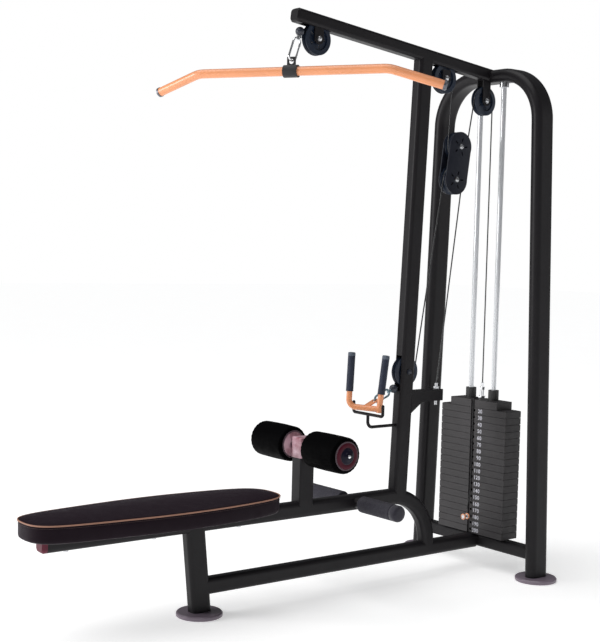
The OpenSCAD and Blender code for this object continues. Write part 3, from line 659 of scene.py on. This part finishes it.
def make_rollers():
    """Foam rolls: vinyl sleeves gathered over both ends, a lengthwise seam, and notched rims."""
    lo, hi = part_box("thigh_rollers")
    axle = middle("thigh_rollers")
    radius = (hi[2] - lo[2]) / 2
    inner, outer = 0.058, hi[0]
    long = outer - inner
    turn = 0.013
    for name, s in (("roller_right", 1), ("roller_left", -1)):
        start = Vector((s * inner, axle.y, axle.z))
        end = Vector((s * outer, axle.y, axle.z))
        profile = [(0.0042, 0.0165), (0.0035, 0.030), (0.003, 0.044), (0.0005, HEM)]
        for k in range(9):
            a = math.pi / 2 * k / 8
            profile.append((turn - turn * math.cos(a), radius - turn + turn * math.sin(a)))
        body = [(turn + (long - 2 * turn) * k / 18, radius + 0.0012 * math.sin(math.pi * k / 18))
                for k in range(1, 18)]
        tail = [(long - along, r) for along, r in reversed(profile)]
        steps = profile + body + tail
        last = len(steps) - 1

        def ripple(i, a):
            edge = min(i, last - i)
            if edge > 13:
                return 0.0005 * noise.noise(Vector((i * 0.35, math.cos(a) * 3, math.sin(a) * 3)))
            if edge < 3:
                return 0
            fold = math.cos(26 * a + 0.6 * math.sin(3 * a))
            depth = 0.0007 * math.sin(math.pi * min(1, (edge - 2) / 10))
            return depth * fold

        roll = lathe(name, start, end, steps, "roller_vinyl", 208, ripple, closed=True)
        refine(roll)
        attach(roll, "thigh_rollers")
        for tag, along in (("inner", -0.0004), ("outer", long + 0.0004)):
            make_rim(f"{name}_{tag}_rim", start, end, along)
        make_cap_disc(name, start, end, "pale_cap" if s < 0 else "roller_cap")
        make_end_cap(name, end, Vector((s, 0, 0)))
        seam = [start.lerp(end, 0.08 + 0.84 * k / 12) + Vector((0, 0.0006 - radius, 0))
                for k in range(13)]
        line = tube(f"{name}_seam", seam, 0.0011, "roller_vinyl", 6)
        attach(line, "thigh_rollers")
    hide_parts("thigh_rollers")


def make_rim(name, start, end, along):
    """Notched plastic ring that clamps the gathered sleeve round a cap."""
    axis = (end - start).normalized()
    u = axis.orthogonal().normalized()
    v = axis.cross(u)
    centre = start + axis * along
    rings = []
    steps = 4 * 40  # four to each notch
    for k in range(steps):
        a = 2 * math.pi * k / steps
        out = u * math.cos(a) + v * math.sin(a)
        outer = HEM + 0.0028
        inner = HEM - (0.0024 if k % 4 < 2 else 0.0008)
        rings.append([centre + out * outer + axis * -0.0008,
                      centre + out * outer + axis * 0.0008,
                      centre + out * inner + axis * 0.0018,
                      centre + out * inner + axis * -0.0018])
    ring = rings_to_mesh(name, rings, "roller_rim", closed=True)
    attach(ring, "thigh_rollers")


def make_end_cap(name, end, out):
    """Wine ring, smoke hub and bright bolt head over the outer end of a roller."""
    parts = (("ring", "cap_ring", [(-0.0010, 0.0462), (0.0006, 0.0466), (0.0026, 0.0450),
                                   (0.0042, 0.0400), (0.0050, 0.0320), (0.0034, 0.0290)]),
             ("hub", "cap_hub", [(0.0030, 0.0290), (0.0062, 0.0270), (0.0080, 0.0220),
                                 (0.0084, 0.0160), (0.0108, 0.0154), (0.0150, 0.0105),
                                 (0.0156, 0.0060)]),
             ("bolt", "chrome", [(0.0150, 0.0062), (0.0172, 0.0058), (0.0184, 0.0036),
                                 (0.0188, 0.0008)]))
    for tag, look, profile in parts:
        piece = lathe(f"{name}_end_{tag}", end, end + out, profile, look, 72)
        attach(piece, "thigh_rollers")


def make_post_hood():
    """Tinted plastic hood over the top of the roller post, between the two rollers."""
    lo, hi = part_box("roller_post")
    axle = middle("thigh_rollers")
    half_x, half_y = (hi[0] - lo[0]) / 2, (hi[1] - lo[1]) / 2
    foot, top = axle.z - 0.038, hi[2]
    sides, squareness = 64, 8
    rings = []
    for z, grow in ((foot, 0.0002), (foot, 0.0016), (top - 0.003, 0.0018),
                    (top + 0.0004, 0.0004), (top + 0.0014, -0.0040)):
        ring = []
        for k in range(sides):
            a = 2 * math.pi * k / sides
            c, d = math.cos(a), math.sin(a)
            reach = (abs(c) ** squareness + abs(d) ** squareness) ** (-1 / squareness)
            ring.append(Vector(((half_x + grow) * c * reach,
                                axle.y + (half_y + grow) * d * reach, z)))
        rings.append(ring)
    hood = rings_to_mesh("post_hood", rings, "pale_cap")
    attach(hood, "frame")


def make_cap_disc(name, start, end, look):
    """Domed glossy disc over the cap at the inner end of a roller."""
    profile = [(-0.0004, 0.0150), (-0.0032, 0.0152), (-0.0034, 0.028), (-0.0030, 0.040),
               (-0.0016, 0.0445), (0.0004, 0.0460), (0.0016, 0.0461)]
    disc = lathe(f"{name}_cap", start, end, profile, look, 96)
    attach(disc, "thigh_rollers")


def make_foot_grips():
    """Moulded rubber sleeves on the foot bar: fine ribs, a grooved collar and a domed end."""
    lo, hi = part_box("peg_grips")
    centre = middle("peg_grips")
    radius = (hi[2] - lo[2]) / 2
    inner, outer = 0.056, hi[0]
    long = outer - inner
    for name, s in (("foot_grip_right", 1), ("foot_grip_left", -1)):
        start = Vector((s * inner, centre.y, centre.z))
        end = Vector((s * outer, centre.y, centre.z))
        profile = [(0.0, 0.0142), (0.0, radius - 0.005), (0.0012, radius - 0.0018),
                   (0.004, radius)]
        for k in range(52):
            along = 0.007 + RIB_PITCH * k
            profile += [(along, radius), (along + 0.0008, radius - 0.0006),
                        (along + 0.0016, radius - 0.0006), (along + 0.0024, radius)]
        profile += [(0.169, radius), (0.1705, radius - 0.0026), (0.1755, radius - 0.0026),
                    (0.177, radius), (long - 0.011, radius), (long - 0.0065, radius - 0.0015),
                    (long - 0.003, radius - 0.005), (long - 0.001, radius - 0.010),
                    (long - 0.0002, radius - 0.018), (long, 0.004)]
        grip = lathe(name, start, end, profile, "peg", 96)
        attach(grip, "frame")
    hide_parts("peg_grips")


def grip_axes():
    """Bottom and top of the two grips on the handle, which is turned, leant back and splayed."""
    pivot = Vector((0, 0.711, 0.669))
    tilt, turn, splay = (math.radians(degrees) for degrees in (-5, 38, 2))
    half_gap, bend_height = 0.059, 0.027
    sleeve_from, sleeve_to = 0.029, 0.175
    lean = Matrix.Rotation(tilt, 4, "X") @ Matrix.Rotation(turn, 4, "Z")
    ends = []
    for s in (-1, 1):
        leg = Matrix.Rotation(s * splay, 4, "Y")
        foot = Vector((s * half_gap, 0, bend_height))
        ends.append([pivot + lean @ (foot + leg @ Vector((0, 0, along)))
                     for along in (sleeve_from, sleeve_to)])
    return ends


def make_hand_grips():
    """Ribbed rubber sleeves with a flanged foot and a paler end plug."""
    for (start, end), side in zip(grip_axes(), ("left", "right")):
        profile = [(0.0, 0.0112), (0.0, 0.0132), (0.0012, 0.0144), (0.0035, 0.0144),
                   (0.0050, 0.0136)]
        for k in range(40):
            along = 0.0075 + RIB_PITCH * k
            profile += [(along, 0.0136), (along + 0.0009, 0.0141), (along + 0.0018, 0.0136)]
        profile += [(0.1345, 0.0138), (0.1385, 0.0138), (0.1415, 0.0130), (0.1440, 0.0114),
                    (0.1440, 0.0112)]
        sleeve = lathe(f"hand_grip_{side}", start, end, profile, "grip", 64)
        plug = lathe(f"hand_grip_{side}_plug", start, end,
                     [(0.1300, 0.0100), (0.1320, 0.0139), (0.1340, 0.0142), (0.1425, 0.0138),
                      (0.1448, 0.0125), (0.1458, 0.0085), (0.1462, 0.0015)], "grip_top", 48)
        for piece in (sleeve, plug):
            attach(piece, "row_handle")
    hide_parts("row_grips")


# ---- plate numbers ----------------------------------------------------------

def make_numbers():
    """Painted weights on the front edges: 20 on the top full plate, 200 on the lowest."""
    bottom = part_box("resting_plates")[0][2]
    lifted_lo, lifted_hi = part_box("lifted_plates")
    count, resting = 19, 2
    heaviest, step = 200, 10
    right_edge = 0.050
    pitch = (lifted_hi[2] - bottom) / count
    for i in range(count):
        place = Vector((right_edge, lifted_lo[1], bottom + pitch * (i + 0.47)))
        body = "frame" if i < resting else "weight_stack"
        make_number(str(heaviest - step * i), place, body)


def make_number(words, place, body):
    """Raised paint on a plate's edge, its right end at place."""
    font = bpy.data.curves.new(f"digits_{words}", "FONT")
    font.body = words
    font.size = 0.0215
    font.space_character = 1.12
    font.align_x, font.align_y = "RIGHT", "CENTER"
    font.extrude = 0.00012
    font.offset = 0.0003
    obj = bpy.data.objects.new(f"number_{words}", font)
    bpy.context.scene.collection.objects.link(obj)
    obj.matrix_world = (Matrix.Translation(place + Vector((0, -0.0001, 0)))
                        @ Matrix.Rotation(math.pi / 2, 4, "X"))
    bpy.context.view_layer.update()
    graph = bpy.context.evaluated_depsgraph_get()
    mesh = bpy.data.meshes.new_from_object(obj.evaluated_get(graph))
    mesh.transform(obj.matrix_world)
    bpy.data.objects.remove(obj)
    made = bpy.data.objects.new(f"number_{words}", mesh)
    bpy.context.scene.collection.objects.link(made)
    mesh.materials.clear()
    mesh.materials.append(MAT["white_ink"])
    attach(made, body)


# ---- cables that change length ----------------------------------------------

RUN = 0.050  # radius of the cable's centre line round a pulley
CABLE = 0.0026  # radius of the cable


def flat(v):
    """The (y, z) of a place, in the middle plane where the cables run."""
    return Vector((v.y, v.z))


def deep(p):
    """The place in the middle plane at a (y, z)."""
    return Vector((0, p.x, p.y))


def crossing(c1, c2, s):
    """Unit normal of the crossing tangent between two equal pulleys."""
    d = c2 - c1
    u = d.normalized()
    c = 2 * RUN / d.length
    return u * c + Vector((-u.y, u.x)) * (s * math.sqrt(1 - c * c))


def touching(p, c, s):
    """Where a straight run from p meets the pulley at c."""
    d = p - c
    a = math.atan2(d.y, d.x) + s * math.acos(RUN / d.length)
    return c + Vector((math.cos(a), math.sin(a))) * RUN


def arc(c, a, b, way):
    """Points round the pulley at c from point a to point b, turning way (+1 anticlockwise)."""
    a0 = math.atan2(a.y - c.y, a.x - c.x)
    a1 = math.atan2(b.y - c.y, b.x - c.x)
    while (a1 - a0) * way < 0:
        a1 += 2 * math.pi * way
    count = max(6, int(abs(a1 - a0) / 0.12))
    return [c + Vector((math.cos(t), math.sin(t))) * RUN
            for t in (a0 + (a1 - a0) * k / count for k in range(count + 1))]


def wrapped(name, c, a, b, way, body):
    """The cable's turn round the pulley at c, riding on a body."""
    piece = tube(name, [deep(p) for p in arc(c, a, b, way)], CABLE, "cable")
    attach(piece, body)
    return piece


def stretched(name, a, b):
    """Straight run from a, fixed in the frame, to b on a moving body."""
    path = [deep(a.lerp(b, k / 24)) for k in range(25)]
    piece = tube(name, path, CABLE, "cable")
    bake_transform(piece)
    return piece


def make_cables():
    front, rear = flat(middle("front_pulley")), flat(middle("rear_pulley"))
    stack, row = flat(middle("stack_pulley")), flat(middle("row_pulley"))
    upper, lower = flat(middle("block_upper_pulley")), flat(middle("block_lower_pulley"))
    lat_ball, row_ball = flat(middle("lat_ball")), flat(middle("row_ball"))
    anchor = flat(middle("anchor_bolt"))
    anchor.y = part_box("anchor_bolt")[1][2] - 0.002
    stem = flat(middle("cable_fitting"))
    stem.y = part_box("cable_fitting")[1][2] - 0.002

    lat_out = touching(lat_ball, front, -1)
    # the bar comes straight down, so the run hangs clear of the pulley only past its front edge
    run = stretched("cable_lat_end", lat_out, lat_ball)
    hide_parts("lat_cable_front")

    n = crossing(rear, upper, 1)
    r_out, u_in = rear + n * RUN, upper - n * RUN
    n = crossing(upper, stack, -1)
    u_out, s_in = upper + n * RUN, stack - n * RUN
    run = stretched("cable_rear_to_block", r_out, u_in)
    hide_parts("upper_block_cable")
    stretched("cable_stack_to_block", s_in, u_out)
    wrapped("cable_block_upper_turn", upper, u_in, u_out, 1, "pulley_block")
    s_out = stack + Vector((RUN, 0))
    wrapped("cable_stack_pulley_turn", stack, s_out, s_in, 1, "frame")
    run = stretched("cable_stack_lift", s_out, stem)
    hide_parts("stack_cable")

    row_out = touching(row_ball, row, 1)
    n = crossing(row, lower, -1)
    w_out, l_in = row + n * RUN, lower - n * RUN
    l_out = touching(anchor, lower, 1)
    run = stretched("cable_row_end", row_out, row_ball)
    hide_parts("row_cable_front")
    wrapped("cable_row_turn", row, row_out, w_out, 1, "frame")
    run = stretched("cable_row_to_block", w_out, l_in)
    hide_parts("lower_block_cable")
    wrapped("cable_block_lower_turn", lower, l_out, l_in, 1, "pulley_block")
    stretched("cable_anchor_to_block", anchor, l_out)


# ---- build ------------------------------------------------------------------

make_camera()
MAT = make_materials()
make_studio()
dress_frame()
make_pad()
make_rollers()
make_post_hood()
make_foot_grips()
make_hand_grips()
make_numbers()
make_cables()
